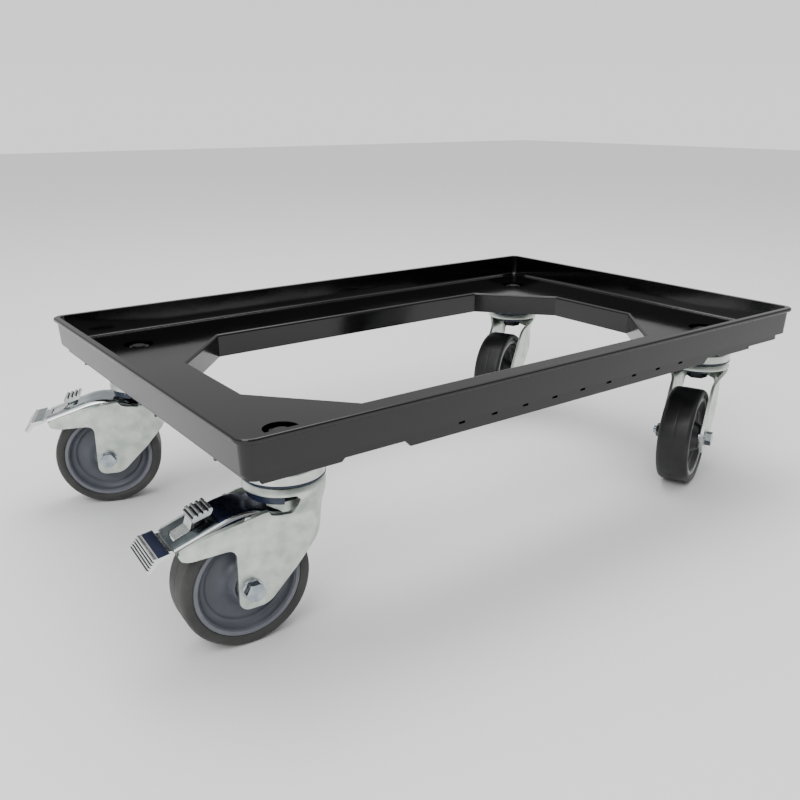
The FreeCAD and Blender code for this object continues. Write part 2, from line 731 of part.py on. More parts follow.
def make_wheel(corner):
    """Tyre, core and the two bearings pressed into the hub."""
    name = corner + "_tyre"
    tyre = new_body(name)
    half = size.wheel_width / 2
    inside = tyre_seat
    spin(tyre, across(tyre, name + "Profile", mirrored([
        (half - 1.2, inside), (half, inside + 2.5, 1.5), (half, size.wheel_radius, 5.5)])), "H_Axis")
    put(tyre, corner)
    keep(name, tyre)

    name = corner + "_wheel_core"
    core = new_body(name)
    hub = hub_half
    seat_depth = hub - size.bearing_width
    spin(core, across(core, name + "Profile", mirrored([
        (seat_depth, size.axle_tube_radius + 2), (seat_depth, size.bearing_radius),
        (hub, size.bearing_radius), (hub, size.hub_radius, 0.8), (6, size.hub_radius + 2, 2),
        (4, size.hub_radius + 12, 20), (8, inside - 6.5, 2.5), (half - 1.6, inside - 4, 0.8),
        (half - 1.2, inside)])), "H_Axis")
    put(core, corner)
    keep(name, core)

    bearings = []
    for side in (-1, 1):
        name = "%s_bearing_%s" % (corner, "inner" if side < 0 else "outer")
        bearing = new_body(name)
        near, far = seat_depth * side, hub * side
        bore = size.axle_tube_radius + size.running_gap
        spin(bearing, across(bearing, name + "Profile", [
            (near, bore), (near, size.bearing_radius), (far, size.bearing_radius), (far, bore)]), "H_Axis")
        put(bearing, corner)
        bearings.append(bearing)
    group = doc.addObject("Part::Compound", corner + "_bearings")
    group.Links = bearings
    keep(corner + "_bearings", group)


# ---------------------------------------------------------------- brake


def sawtooth(start, end, teeth, depth):
    """Points of a ridged face from start to end; a point is (x, z) and the teeth stand out to the left."""
    points = []
    run_x, run_z = end[0] - start[0], end[1] - start[1]
    span = math.hypot(run_x.value, run_z.value)
    out_x, out_z = run_z.value / span * -depth, run_x.value / span * depth
    for tooth in range(teeth):
        for part, out in ((0.12, 1), (0.62, 1), (0.74, 0), (1.0, 0)):
            share = (tooth + part) / teeth
            points.append((start[0] + run_x * share + out * out_x, start[1] + run_z * share + out * out_z))
    return points[:-1]


def make_brake(corner):
    """Pedal with its foot tread, release tab, brake shoe, pivot pin and return spring."""
    axle_x = size.trail
    top = wheel_top
    half = pedal_half
    sheet_thick = size.pedal_sheet

    # the pedal: a folded channel whose window shows the release tab's tongue
    name = corner + "_pedal"
    pedal = new_body(name)
    upper = [(axle_x - 20, top + 5), (axle_x - 4, top + 9.7, 16), (axle_x + 9, top + 9.2, 30),
             (axle_x + 52, top - 5)]
    lower = [(axle_x + 51.3, top - 5 - sheet_thick), (axle_x + 8.6, top + 9.2 - sheet_thick, 29),
             (axle_x - 3.6, top + 9.7 - sheet_thick, 15), (axle_x - 19.4, top + 5 - sheet_thick)]
    plate = draw(pedal, name + "Plate", "XZ", [upper + lower])
    pad(pedal, plate, half * 2, both_ways=True)
    cheek_loop = upper + [(axle_x + 51, top - 8.8), (axle_x + 22, top - 2.5, 20), (axle_x, top - 2.5, 10),
                          (axle_x - 20, top + 1.5)]
    for side, shift in (("Near", half - sheet_thick), ("Far", -1 * half)):
        cheek = draw(pedal, name + side, "XZ", [cheek_loop], at=(0, 0, shift))
        pad(pedal, cheek, sheet_thick)
    pin_hole = draw(pedal, name + "PinHole", "XZ", circles=[(axle_x, pin_height, size.pin_radius + size.running_gap)])
    pad(pedal, pin_hole, size.fork_gap, "Pocket", both_ways=True)
    window = draw(pedal, name + "Window", "XY",
                  [rectangle_between(axle_x + 24, axle_x + 49, size.slot_half_width, 1)], at=(0, 0, top + 14))
    pad(pedal, window, 24, "Pocket")
    notch_radius = size.retainer_radius + 1.6
    notch = draw(pedal, name + "Notch", "XY", circles=[(0, 0, notch_radius)], at=(0, 0, top + 14))
    pad(pedal, notch, 16, "Pocket")
    put(pedal, corner)
    keep(name, pedal)

    # the foot tread: a ridged plate fixed under the pedal's end
    name = corner + "_pedal_tread"
    tread = new_body(name)
    face_top = (axle_x + 66.5, top - 8.6)
    face_low = (axle_x + 72.5, top - 16.4)
    ridges = sawtooth(face_top, face_low, 5, 1.0)
    loop = [(axle_x + 57, top - 5.9)] + ridges + [
        face_low, (axle_x + 69.7, top - 17.3), (axle_x + 64.3, top - 11.2), (axle_x + 57, top - 9.1)]
    plate = draw(tread, name + "Plate", "XZ", [loop])
    pad(tread, plate, size.tread_half_width * 2, both_ways=True)
    root = draw(tread, name + "Root", "XZ", [[(axle_x + 51.5, top - 6.9), (axle_x + 52.2, top - 5.5),
                                              (axle_x + 58, top - 6.4), (axle_x + 58, top - 8.9),
                                              (axle_x + 51.5, top - 8.5)]])
    pad(tread, root, (half - sheet_thick) * 2, both_ways=True)
    put(tread, corner)
    keep(name, tread)

    # the release tab: a ridged pad on a tongue that rocks in the pedal's window
    name = corner + "_release_tab"
    tab = new_body(name)
    pad_top = sawtooth((axle_x + 20.5, top + 14), (axle_x + 35.5, top + 10), 4, 0.9)
    loop = [(axle_x + 20.5, top + 14)] + pad_top + [(axle_x + 35.5, top + 10), (axle_x + 34.5, top + 5.5),
                                                  (axle_x + 21.5, top + 9.2)]
    block = draw(tab, name + "Pad", "XZ", [loop])
    pad(tab, block, size.tab_half_width * 2, both_ways=True)
    tongue_half = size.slot_half_width - 0.6
    tongue = draw(tab, name + "Tongue", "XZ", [[
        (axle_x + 32.5, top + 7), (axle_x + 34.5, top + 6), (axle_x + 37, top - 0.4, 2),
        (axle_x + 47.5, top - 4.2, 1), (axle_x + 47.5, top - 7.6, 1), (axle_x + 34.5, top - 2.4, 2)]])
    pad(tab, tongue, tongue_half * 2, both_ways=True)
    put(tab, corner)
    keep(name, tab)

    # the brake shoe: a block under the pedal, hollowed to the tyre's curve
    name = corner + "_brake_shoe"
    shoe = new_body(name)
    shoe_half = 13
    block = draw(shoe, name + "Block", "XZ", [[
        (axle_x + 12, top + 8 - sheet_thick), (axle_x + 22, top + 4.7 - sheet_thick),
        (axle_x + 22, top - 6), (axle_x + 12, top - 3)]])
    pad(shoe, block, shoe_half * 2, both_ways=True)
    hollow = draw(shoe, name + "Hollow", "XZ",
                  circles=[(axle_x, size.wheel_radius, size.wheel_radius + size.shoe_gap)])
    pad(shoe, hollow, shoe_half * 3, "Pocket", both_ways=True)
    put(shoe, corner)
    keep(name, shoe)

    # the pivot pin, riveted over outside the fork's legs
    name = corner + "_pedal_pin"
    pin = new_body(name)
    reach = fork_outside + 1
    spin(pin, draw(pin, name + "Profile", "YZ", [[
        (-reach, 0), (-reach, size.pin_radius + 1, 0.5), (-fork_outside, size.pin_radius + 1),
        (-fork_outside, size.pin_radius), (fork_outside, size.pin_radius),
        (fork_outside, size.pin_radius + 1), (reach, size.pin_radius + 1, 0.5), (reach, 0)]],
        at=(0, pin_height, axle_x)), "H_Axis")
    put(pin, corner)
    keep(name, pin)


def rectangle_between(left, right, half_height, radius):
    """A rounded rectangle from one distance to another, centred on the other axis."""
    half_height = length(half_height)
    return [(left, -half_height, radius), (right, -half_height, radius),
            (right, half_height, radius), (left, half_height, radius)]


make_frame()
for name, make in (("top_cups", top_cup), ("seal_rings", seal_ring), ("kingpin_sleeves", kingpin_sleeve),
                   ("lower_cups", retainer), ("mounting_bolts", mounting_bolt),
                   ("mounting_washers", mounting_washer), ("mounting_nuts", mounting_nut)):
    make_four(name, make)
ball_ring("upper_balls", size.ball_path, 14, crown_top + size.ball_radius + size.running_gap)
ball_ring("lower_balls", size.lower_ball_path, 9, crown_top - 3 - size.ball_radius - size.running_gap)
for corner in CORNERS:
    make_fork(corner)
    make_axle(corner)
    make_wheel(corner)
    if CORNERS[corner][3]:
        make_brake(corner)
doc.recompute()

# the origin goes to the middle of the whole part's footprint
footprint = FreeCAD.BoundBox()
for made in nodes.values():
    footprint.add(made.Shape.optimalBoundingBox(False))
rows = {alias: row for row, (alias, number, meaning) in enumerate(SIZES, 1)}
sheet.set("B%d" % rows["origin_x"], "%.3f" % footprint.Center.x)
sheet.set("B%d" % rows["origin_y"], "%.3f" % footprint.Center.y)
doc.recompute()
print("origin", footprint.Center.x, footprint.Center.y, "lowest", footprint.ZMin)

failed = [item.Name for item in doc.Objects if "Invalid" in item.State or "Error" in item.State]
failed += [name for name, made in nodes.items() if made.Shape.isNull() or not made.Shape.isValid()]
if failed:
    raise RuntimeError("these objects failed: %s" % failed)

os.makedirs("parts", exist_ok=True)
for name, made in nodes.items():
    made.Shape.exportStep("parts/%s.step" % name)
    print("%-28s %2d solids %9.0f mm3" % (name, len(made.Shape.Solids), made.Shape.Volume))
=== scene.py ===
# %% [markdown]
# # A crate dolly on four swivel casters
# This lesson dresses a fixed CAD frame. The frame holds every joint and every size, and the
# cells below add the looks: glossy moulded plastic, zinc-plated pressings and rubber.
# The scene is in metres, the floor is at height zero, and the front of the dolly is +X. Pieces are
# drawn in millimetres, which is how their makers think, and scaled once when they are finished.

# %% Load the frame
import json
import math

import bmesh
import bpy
from mathutils import Matrix, Vector


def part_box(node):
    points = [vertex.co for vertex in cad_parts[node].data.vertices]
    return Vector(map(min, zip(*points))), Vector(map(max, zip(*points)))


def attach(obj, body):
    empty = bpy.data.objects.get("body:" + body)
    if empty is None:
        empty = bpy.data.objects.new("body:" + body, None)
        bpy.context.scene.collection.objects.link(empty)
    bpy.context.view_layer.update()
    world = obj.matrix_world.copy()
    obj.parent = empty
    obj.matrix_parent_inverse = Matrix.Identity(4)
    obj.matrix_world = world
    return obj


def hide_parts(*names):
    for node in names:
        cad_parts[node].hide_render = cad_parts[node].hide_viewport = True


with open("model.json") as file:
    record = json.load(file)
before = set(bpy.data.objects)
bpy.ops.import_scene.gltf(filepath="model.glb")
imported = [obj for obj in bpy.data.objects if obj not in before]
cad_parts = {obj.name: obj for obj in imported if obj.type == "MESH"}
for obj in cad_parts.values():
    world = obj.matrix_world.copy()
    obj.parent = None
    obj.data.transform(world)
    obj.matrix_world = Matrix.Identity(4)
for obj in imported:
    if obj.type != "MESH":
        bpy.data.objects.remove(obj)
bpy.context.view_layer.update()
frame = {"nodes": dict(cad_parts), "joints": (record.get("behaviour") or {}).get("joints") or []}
nodes = frame["nodes"]
joints = {joint["name"]: joint for joint in frame["joints"]}
MM = 0.001

# %% [markdown]
# ## The camera
# The view is from in front of the near rear corner, a little above the rim. The camera comes
# first, because every later choice is judged through it. It is placed from the middle of the
# tray, so it follows if the tray is made longer, and it is aimed by two angles.

# %% Camera
rim_low, rim_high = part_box("frame_tray")
tray_middle = (rim_low.x + rim_high.x) / 2
LENS, SENSOR = 37.8, 36
CAMERA_PLACE = Vector((tray_middle - 0.5191, -0.6487, 0.3742))
CAMERA_AZIMUTH, CAMERA_ELEVATION = math.radians(-36.47), math.radians(18.98)

camera_data = bpy.data.cameras.new("camera")
camera_data.sensor_width = SENSOR
camera_data.lens = LENS
camera = bpy.data.objects.new("camera", camera_data)
bpy.context.scene.collection.objects.link(camera)
bpy.context.scene.camera = camera
camera.location = CAMERA_PLACE
looking = Vector((
    -math.sin(CAMERA_AZIMUTH) * math.cos(CAMERA_ELEVATION),
    math.cos(CAMERA_AZIMUTH) * math.cos(CAMERA_ELEVATION),
    -math.sin(CAMERA_ELEVATION),
))
camera.rotation_euler = looking.to_track_quat("-Z", "Y").to_euler()
print("camera to the tray's near corner", round((CAMERA_PLACE - rim_low).length, 3), "m")

# %% [markdown]
# ## From a bmesh to an object
# Each piece is drawn in a bmesh and finished in the same way. Doubles are merged first, because
# the normals can only be made to agree once the seams are closed. Then the mesh is scaled to
# metres and shaded smooth. The object itself never moves: its place is in its mesh.

# %% Mesh helpers
def link(name, data):
    """A new object at the origin."""
    thing = bpy.data.objects.new(name, data)
    bpy.context.scene.collection.objects.link(thing)
    return thing


def finish_mesh(bm, name):
    """Turns a bmesh drawn in millimetres into an object in metres, with its faces outwards."""
    bmesh.ops.remove_doubles(bm, verts=bm.verts, dist=0.01)
    bmesh.ops.recalc_face_normals(bm, faces=bm.faces)
    bmesh.ops.scale(bm, vec=(MM, MM, MM), verts=bm.verts)
    mesh = bpy.data.meshes.new(name)
    bm.to_mesh(mesh)
    bm.free()
    mesh.shade_smooth()
    return link(name, mesh)


def merge_into(bm, other):
    """Moves the mesh of a second bmesh into the first."""
    carrier = bpy.data.meshes.new("carrier")
    other.to_mesh(carrier)
    other.free()
    bm.from_mesh(carrier)
    bpy.data.meshes.remove(carrier)


def points_of(made):
    """The vertices among an operator's results."""
    return [item for item in made["geom"] if isinstance(item, bmesh.types.BMVert)]


def turn_points(bm, points, degrees, axis):
    """Turns vertices about an axis through the origin."""
    turn = Matrix.Rotation(math.radians(degrees), 3, axis)
    bmesh.ops.rotate(bm, verts=points, cent=(0, 0, 0), matrix=turn)


# %% [markdown]
# ## The floor
# A plain pale sheet of paper, wide enough to reach past the edges of every view. It is matt, so
# it takes the soft contact shadows of the wheels and mirrors nothing.

# %% Floor
FLOOR_HALF = 8 / MM
bm = bmesh.new()
bmesh.ops.create_grid(bm, x_segments=1, y_segments=1, size=FLOOR_HALF)
floor = finish_mesh(bm, "floor")
floor_paper = bpy.data.materials.new("floor_paper")
floor_paper.use_nodes = True
paper = floor_paper.node_tree.nodes["Principled BSDF"]
paper.inputs["Base Color"].default_value = (0.94, 0.94, 0.94, 1)
paper.inputs["Roughness"].default_value = 0.85
floor.data.materials.append(floor_paper)
print("floor", [round(side, 1) for side in floor.dimensions], "m")

# %% [markdown]
# ## The room
# Glossy black shows only what it mirrors, so the room is part of the object's look. An evenly
# white room would turn the deck pale, because the deck mirrors the far wall. So the world's
# light changes with direction: it is bright low down and overhead, with a darker band at the
# height that the deck mirrors, and it is dimmer behind the camera, which gives the bright metal
# its contrast.

# %% Room
NEAR_WALL, ROOM_STRENGTH = 0.55, 1.3
NEAR_END, FAR_START = -0.95, -0.1
UP_THE_WALL = ((0.0, 0.95), (0.10, 0.9), (0.24, 0.40), (0.50, 0.42), (0.72, 1.0))

world = bpy.data.worlds.new("studio")
world.use_nodes = True
room = world.node_tree.nodes
direction = room.new("ShaderNodeTexCoord")
split = room.new("ShaderNodeSeparateXYZ")
wall = room.new("ShaderNodeMapRange")
wall.interpolation_type = "SMOOTHSTEP"
wall.inputs["From Min"].default_value = NEAR_END
wall.inputs["From Max"].default_value = FAR_START
wall.inputs["To Min"].default_value = NEAR_WALL
wall.inputs["To Max"].default_value = ROOM_STRENGTH
climb = room.new("ShaderNodeValToRGB")
climb.color_ramp.interpolation = "EASE"
while len(climb.color_ramp.elements) < len(UP_THE_WALL):
    climb.color_ramp.elements.new(0.5)
for stop, (height, share) in zip(climb.color_ramp.elements, UP_THE_WALL):
    stop.position = height
    stop.color = (share, share, share, 1)
for outlet, inlet in (
    (direction.outputs["Generated"], split.inputs["Vector"]),
    (split.outputs["Y"], wall.inputs["Value"]),
    (split.outputs["Z"], climb.inputs["Fac"]),
    (climb.outputs["Color"], room["Background"].inputs["Color"]),
    (wall.outputs["Result"], room["Background"].inputs["Strength"]),
):
    world.node_tree.links.new(outlet, inlet)
bpy.context.scene.world = world
print("room", len(UP_THE_WALL), "steps from the floor to overhead")

# %% [markdown]
# ## Two soft panels
# The room alone is flat, so two large rectangular lights shape the object: one to the left, for
# the long gleam on the pedals and the forks, and one overhead. Large panels are used rather than
# small lamps because their edges stay soft in every mirror-like surface.

# %% Lights
def panel(name, place, target, size, watts):
    """A soft rectangular light that faces a point."""
    data = bpy.data.lights.new(name, "AREA")
    data.shape = "RECTANGLE"
    data.size, data.size_y = size
    data.energy = watts
    lamp = link(name, data)
    lamp.location = place
    lamp.rotation_euler = (Vector(target) - Vector(place)).to_track_quat("-Z", "Y").to_euler()


panel("key", (-1.5, -1.1, 1.7), (-0.1, 0, 0.1), (1.2, 1.2), 22)
panel("top", (0.3, 0.5, 2.2), (0, 0, 0.1), (1.6, 1.2), 26)

# %% [markdown]
# ## Finishes
# A single flat colour never looks like a made thing. Each finish here is one shader plus soft
# noise: one noise shifts the colour a little, one shifts the roughness, and a finer one makes
# bumps. The noise reads Object coordinates, which are the same metres as the mesh because each
# piece's object sits at the origin, so a scale of 100 means a spot of about ten millimetres.

# %% A finish made of a shader and its noise
def finish(name, colour, roughness, metallic=0.0, mottle=None, smear=None, stretch=1, grain=None):
    """A material with its constants on the shader.

    mottle is (second colour, noise scale), smear is (roughness at the other end, noise scale),
    stretch pulls the smear's noise out along Z, and grain is (bump height in metres, noise scale).
    """
    material = bpy.data.materials.new(name)
    material.use_nodes = True
    tree = material.node_tree
    shader = tree.nodes["Principled BSDF"]
    shader.inputs["Base Color"].default_value = (*colour, 1)
    shader.inputs["Roughness"].default_value = roughness
    shader.inputs["Metallic"].default_value = metallic
    place = tree.nodes.new("ShaderNodeTexCoord")

    def noise(scale, detail, along_z=1):
        mapping = tree.nodes.new("ShaderNodeMapping")
        mapping.inputs["Scale"].default_value = (1, 1, along_z)
        tree.links.new(place.outputs["Object"], mapping.inputs["Vector"])
        texture = tree.nodes.new("ShaderNodeTexNoise")
        texture.inputs["Scale"].default_value = scale
        texture.inputs["Detail"].default_value = detail
        tree.links.new(mapping.outputs["Vector"], texture.inputs["Vector"])
        return texture.outputs["Fac"]

    if mottle:
        ramp = tree.nodes.new("ShaderNodeValToRGB")
        for stop, position, shade in zip(ramp.color_ramp.elements, (0.35, 0.68), (colour, mottle[0])):
            stop.position = position
            stop.color = (*shade, 1)
        tree.links.new(noise(mottle[1], 5), ramp.inputs["Fac"])
        tree.links.new(ramp.outputs["Color"], shader.inputs["Base Color"])
    if smear:
        spread = tree.nodes.new("ShaderNodeMapRange")
        spread.inputs["From Min"].default_value = 0.3
        spread.inputs["From Max"].default_value = 0.7
        spread.inputs["To Min"].default_value = roughness
        spread.inputs["To Max"].default_value = smear[0]
        tree.links.new(noise(smear[1], 3, stretch), spread.inputs["Value"])
        tree.links.new(spread.outputs["Result"], shader.inputs["Roughness"])
    if grain:
        bump = tree.nodes.new("ShaderNodeBump")
        bump.inputs["Strength"].default_value = 1.0
        bump.inputs["Distance"].default_value = grain[0]
        tree.links.new(noise(grain[1], 4), bump.inputs["Height"])
        tree.links.new(bump.outputs["Normal"], shader.inputs["Normal"])
    return material


# %% [markdown]
# ## The tray's black plastic
# The tray is one large moulding in glossy black plastic. A polished mould leaves a surface that
# mirrors the room with the faintest long waves, where the plastic sank as it cooled over its
# ribs. The colour is almost true black, so the grey that shows is all reflection. The CAD tray
# already has its rounded bead and foot, so it stays, and only takes this finish.

# %% The tray's finish
tray_black = finish("tray_black_gloss", (0.0016, 0.0016, 0.0018), 0.07,
                    smear=(0.16, 9), grain=(0.00012, 24))
print("tray", tray_black.name)

# %% [markdown]
# ## Zinc and steel
# Zinc plating is a metal that is a little green and cloudy: its spots are crystals in the coat,
# some matt and some bright. So the forks get a wide roughness range and a pale mottle. The near
# pedal has a dark blue coat and the left one a pale coat. Cut edges, the pedal's folds and the
# ribs of the treads carry a painted highlight: a brighter finish that stands in for the light they catch.

# %% Metal finishes
fork_zinc = finish("fork_zinc", (0.52, 0.58, 0.53), 0.34, 1.0,
                   mottle=((0.74, 0.78, 0.73), 85), smear=(0.52, 130), grain=(0.00003, 300))
cup_zinc = finish("cup_zinc", (0.62, 0.66, 0.62), 0.28, 1.0,
                  mottle=((0.74, 0.77, 0.73), 70), smear=(0.4, 90), stretch=3, grain=(0.00003, 600))
pedal_blue = finish("pedal_blue_zinc", (0.018, 0.026, 0.070), 0.22, 1.0,
                    mottle=((0.032, 0.042, 0.092), 26), smear=(0.34, 60), grain=(0.00006, 60))
pedal_pale = finish("pedal_pale_zinc", (0.30, 0.35, 0.38), 0.12, 1.0,
                    mottle=((0.52, 0.57, 0.58), 26), smear=(0.22, 60), grain=(0.00006, 60))
# Painted reflection: a greyer finish for the toe end of the near pedal, standing in for the change that
# reflection makes along it.
pedal_toe_painted_reflection = finish("pedal_toe_painted_reflection_zinc", (0.085, 0.105, 0.115), 0.2, 1.0,
                   mottle=((0.15, 0.175, 0.18), 60), smear=(0.3, 60))
# Painted reflection: a darker finish for the hexagon flats, standing in for the dark parts they mirror.
bolt_flats_painted_reflection = finish("bolt_flats_painted_reflection_zinc", (0.10, 0.11, 0.12), 0.2, 1.0,
                   mottle=((0.18, 0.19, 0.20), 140), smear=(0.3, 160))
# Painted highlight: a bright finish for edges, folds and ribs, standing in for the light they catch.
edge_painted_highlight = finish("edge_painted_highlight_zinc", (0.80, 0.82, 0.80), 0.16, 1.0,
                     mottle=((0.70, 0.73, 0.73), 60), smear=(0.26, 90))
tread_zinc = finish("tread_zinc", (0.42, 0.45, 0.45), 0.18, 1.0,
                    mottle=((0.62, 0.65, 0.64), 90), smear=(0.3, 120))
# Painted shade: a dark finish for the floors between ribs, standing in for the shade that falls there.
groove_painted_shade = finish("groove_painted_shade_zinc", (0.020, 0.022, 0.028), 0.30, 1.0,
                     mottle=((0.05, 0.052, 0.06), 120), smear=(0.45, 120))
nut_dark = finish("nut_dark", (0.030, 0.031, 0.034), 0.35, 1.0,
                  mottle=((0.06, 0.06, 0.065), 90), smear=(0.5, 120))
bolt_zinc = finish("bolt_zinc", (0.34, 0.39, 0.44), 0.16, 1.0,
                   mottle=((0.52, 0.58, 0.63), 140), smear=(0.3, 160), grain=(0.00001, 900))
ball_steel = finish("ball_steel", (0.72, 0.72, 0.74), 0.08, 1.0, smear=(0.14, 200))
print(len(bpy.data.materials), "materials")

# %% [markdown]
# ## Rubber, seals and cores
# The braked casters have grey tyres on grey cores, the others are black with a pale rim. Rubber
# is rougher than the hard cores, and a fine grain keeps its highlights from looking wet.

# %% Soft and moulded finishes
navy_cup = finish("lower_cup_dark", (0.012, 0.02, 0.045), 0.25,
                  mottle=((0.02, 0.035, 0.07), 60), grain=(0.00003, 400))
seal_navy = finish("seal_navy", (0.006, 0.02, 0.05), 0.3,
                   mottle=((0.01, 0.03, 0.07), 200), grain=(0.00002, 900))
grey_rubber = finish("grey_rubber", (0.032, 0.032, 0.031), 0.50,
                     mottle=((0.050, 0.051, 0.048), 45), smear=(0.66, 60), grain=(0.00008, 700))
black_rubber = finish("black_rubber", (0.005, 0.005, 0.006), 0.36,
                      mottle=((0.009, 0.009, 0.010), 45), smear=(0.55, 60), grain=(0.00008, 700))
core_grey = finish("core_grey", (0.080, 0.087, 0.106), 0.34,
                   mottle=((0.100, 0.108, 0.130), 40), smear=(0.44, 70), grain=(0.00004, 500))
core_lip = finish("core_lip_grey", (0.135, 0.143, 0.165), 0.42,
                  mottle=((0.165, 0.175, 0.20), 60), grain=(0.00003, 600))
core_black = finish("core_black", (0.010, 0.010, 0.011), 0.32,
                    mottle=((0.016, 0.016, 0.018), 40), smear=(0.44, 70), grain=(0.00004, 500))
core_black_lip = finish("core_black_lip", (0.30, 0.31, 0.33), 0.45,
                        mottle=((0.36, 0.37, 0.39), 60), grain=(0.00003, 600))
print(len(bpy.data.materials), "materials")

# %% [markdown]
# ## Pieces that stay as the CAD made them
# The tray, the bearing stack, the mounting bolts and the brake shoes already have their true
# shapes, so they only need a finish. Their meshes are left alone.

# %% Finishes of the CAD nodes
CAD_FINISHES = {
    "frame_tray": tray_black, "top_cups": cup_zinc, "seal_rings": seal_navy,
    "kingpin_sleeves": bolt_zinc, "lower_cups": navy_cup, "mounting_bolts": nut_dark,
    "mounting_washers": nut_dark, "mounting_nuts": nut_dark, "upper_balls": ball_steel,
    "lower_balls": ball_steel,
}
CASTER_FINISHES = {"bearings": ball_steel, "brake_shoe": navy_cup}
for name, node in nodes.items():
    ending = next((ending for ending in CASTER_FINISHES if name.endswith(ending)), None)
    node.data.materials.clear()
    node.data.materials.append(CAD_FINISHES.get(name) or CASTER_FINISHES.get(ending, bolt_zinc))
print(len(nodes), "CAD nodes dressed")

# %% [markdown]
# ## Where each caster stands
# All four casters are made in one small frame of their own: the swivel axis is Z, the wheel
# trails towards +X, and +Y is the side of the axle bolt's head. The joints of the frame say
# where each swivel stands and which way its wheel trails, so one matrix a caster puts a piece in
# place. The matrix is baked into the mesh and the object stays at the origin.

# %% Caster places and shared sizes, in millimetres
CASTERS = ("rear_right", "rear_left", "front_right", "front_left")
BRAKED = ("rear_right", "rear_left")
PLACE = {}
for caster in CASTERS:
    swivel = Vector(joints[caster + "_swivel"]["pos_m"])
    axle = Vector(joints[caster + "_wheel_spin"]["axis"])
    trailing = axle.cross(Vector((0, 0, 1)))
    turn = Matrix((trailing, axle, (0, 0, 1))).transposed().to_4x4()
    PLACE[caster] = Matrix.Translation((swivel.x, swivel.y, 0)) @ turn

axle_point = Vector(joints["rear_right_wheel_spin"]["pos_m"])
swivel_point = Vector(joints["rear_right_swivel"]["pos_m"])
WHEEL_RADIUS = axle_point.z / MM
TRAIL = (axle_point.xy - swivel_point.xy).length / MM
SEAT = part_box("top_cups")[1].z / MM
FORK_GAP = 39
SHEET = 3
HALF_OUT = FORK_GAP / 2 + SHEET
CUP_STACK = 11.5
CROWN_RADIUS, CROWN_HEIGHT = 31, 6.5
CROWN_TOP = SEAT - CUP_STACK
CROWN_BOTTOM = CROWN_TOP - CROWN_HEIGHT
AXLE = Vector((TRAIL, 0, WHEEL_RADIUS))
ALONG_AXLE = (0, 1, 0)
print("wheel radius", round(WHEEL_RADIUS, 2), "trail", round(TRAIL, 2), "seat", round(SEAT, 2), "mm")

# %% [markdown]
# ## Helpers for caster pieces
# Every caster piece is finished, put in its place, dressed and tied to the body that it moves with,
# and where it stands in for a CAD node, that node is hidden. A fine bevel on the sharp edges is the last
# touch, because no real edge is perfectly sharp, and the bevel is what catches the light.

# %% Seating and softening
def seat_piece(bm, name, caster, body, materials, replaces=None):
    """Finishes a piece drawn in the caster's own frame and puts it on its body."""
    piece = finish_mesh(bm, caster + "_" + name)
    piece.data.transform(PLACE[caster])
    for material in materials:
        piece.data.materials.append(material)
    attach(piece, caster + "_" + body)
    if replaces:
        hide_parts(caster + "_" + replaces)
    return piece


def modify(piece, kind, **settings):
    """Adds a modifier with its settings."""
    modifier = piece.modifiers.new(kind.lower(), kind)
    for key, value in settings.items():
        setattr(modifier, key, value)


def soft_edges(piece, width, segments=2, angle=35):
    """A fine bevel on every sharp edge, which is what catches the light."""
    modify(piece, "BEVEL", width=width * MM, segments=segments, limit_method="ANGLE",
           angle_limit=math.radians(angle), harden_normals=True)


# %% [markdown]
# ## Outlines, bars and turned shapes
# Three ways of shaping cover nearly everything here. An outline of a few corners, each with its
# own rounding, becomes a flat face. The face is thickened into a bar, or its edge is spun round
# an axle. Edges that lie on the axle are dropped before the spin, so that the pole closes to a
# single point.

# %% Shaping helpers
ON_AXIS = 1e-4


def rounded_face(bm, corners, plane="XZ"):
    """A flat face from (x, y) or (x, y, setback) corners; a setback rounds the corner."""
    across, up = ("XYZ".index(letter) for letter in plane)
    points = []
    for corner in corners:
        place = Vector((0, 0, 0))
        place[across], place[up] = corner[:2]
        points.append(bm.verts.new(place))
    bm.faces.new(points)
    setbacks = [corner[2] if len(corner) > 2 else 0 for corner in corners]
    for setback in sorted(set(setbacks) - {0}):
        chosen = [point for point, own in zip(points, setbacks) if own == setback]
        bmesh.ops.bevel(bm, geom=chosen, offset=setback, offset_type="OFFSET", affect="VERTICES",
                        segments=5, profile=0.5, material=-1, clamp_overlap=False)


def thicken(bm, half):
    """Extrudes the flat face of a bmesh both ways along the axle into a closed bar."""
    across = Vector(ALONG_AXLE) * half
    bmesh.ops.translate(bm, verts=bm.verts, vec=-across)
    grown = bmesh.ops.extrude_face_region(bm, geom=list(bm.faces), use_keep_orig=True)
    bmesh.ops.translate(bm, verts=points_of(grown), vec=across * 2)


def slice_at(bm, axis, places):
    """Cuts every face by planes square to an axis."""
    for place in places:
        point = Vector((0, 0, 0))
        point[axis] = place
        normal = Vector((0, 0, 0))
        normal[axis] = 1
        geometry = list(bm.verts) + list(bm.edges) + list(bm.faces)
        bmesh.ops.bisect_plane(bm, geom=geometry, dist=1e-4, plane_co=point, plane_no=normal)


def both_sides(half, middle=()):
    """An outline that is the same on both sides of the caster's middle plane."""
    return half + list(middle) + [(-corner[0], *corner[1:]) for corner in reversed(half)]


def spun(bm, corners, centre, steps=96):
    """Turns a rounded outline in the YZ plane about an axle through a centre."""
    rounded_face(bm, corners, "YZ")
    bmesh.ops.translate(bm, verts=bm.verts, vec=centre)
    bmesh.ops.delete(bm, geom=list(bm.faces), context="FACES_ONLY")
    axis = Vector(ALONG_AXLE)
    on_axis = [edge for edge in bm.edges
               if all((vertex.co - centre).cross(axis).length < ON_AXIS for vertex in edge.verts)]
    bmesh.ops.delete(bm, geom=on_axis, context="EDGES")
    bmesh.ops.spin(bm, geom=list(bm.edges), cent=centre, axis=axis, angle=math.tau, steps=steps,
                   use_merge=True)


